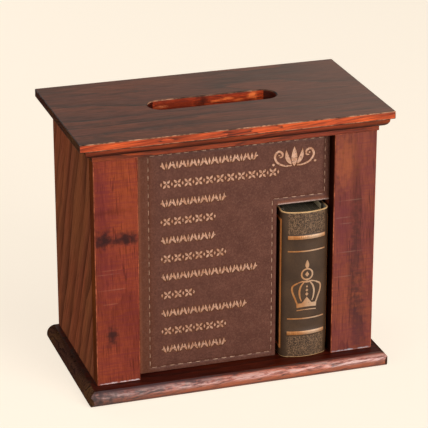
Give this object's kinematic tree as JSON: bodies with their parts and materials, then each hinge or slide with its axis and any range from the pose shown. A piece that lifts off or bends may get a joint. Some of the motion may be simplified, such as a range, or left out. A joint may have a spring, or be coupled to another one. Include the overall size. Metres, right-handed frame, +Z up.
{
  "type": "tzedakah box",
  "caption": "Lacquered wooden charity box with a moulded top and coin slot, a stitched leather front, a small bound book that slides out of a niche and a stopper in the base.",
  "frame": {"origin": "on the table under the middle of the whole box", "axes": "+Z up, -Y out of the leather front, +X to the right of someone who faces the front"},
  "size_m": [0.17, 0.098, 0.1445],
  "materials": {
    "stained_wood": "reddish brown stain under gloss lacquer",
    "inner_wood": "thin stain, satin",
    "front_leather": "smooth brown leather with stitching and gilt ornament",
    "book_leather": "dark olive leather with gilt tooling",
    "book_board": "grey board",
    "paper": "aged cream paper",
    "lining_cloth": "open-weave cloth and glue",
    "headband_silk": "striped silk",
    "black_rubber": "matt",
    "screw_brass": "polished",
    "dowel_wood": "plain"
  },
  "bodies": {
    "case": {"base_board": "stained_wood", "left_side": "stained_wood", "right_side": "stained_wood", "back_panel": "stained_wood", "front_board": "inner_wood", "left_stile": "stained_wood", "right_stile": "stained_wood", "cornice_board": "stained_wood", "top_board": "stained_wood", "front_leather": "front_leather", "niche_left_wall": "inner_wood", "niche_right_wall": "inner_wood", "niche_back_wall": "inner_wood", "niche_ceiling": "inner_wood", "base_screws": "screw_brass", "top_dowels": "dowel_wood"},
    "book": {"book_cover": "book_leather", "book_left_board": "book_board", "book_right_board": "book_board", "book_pages": "paper", "book_spine_lining": "lining_cloth", "book_headbands": "headband_silk"},
    "plug": {"stopper": "black_rubber"}
  },
  "joints": [
    {"name": "book_slide", "type": "slide", "parent": "case", "child": "book", "axis": [0, -1, 0], "range_m": [0, 0.065]},
    {"name": "stopper_pull", "type": "slide", "parent": "case", "child": "plug", "axis": [0, 0, -1], "range_m": [0, 0.016]}
  ]
}
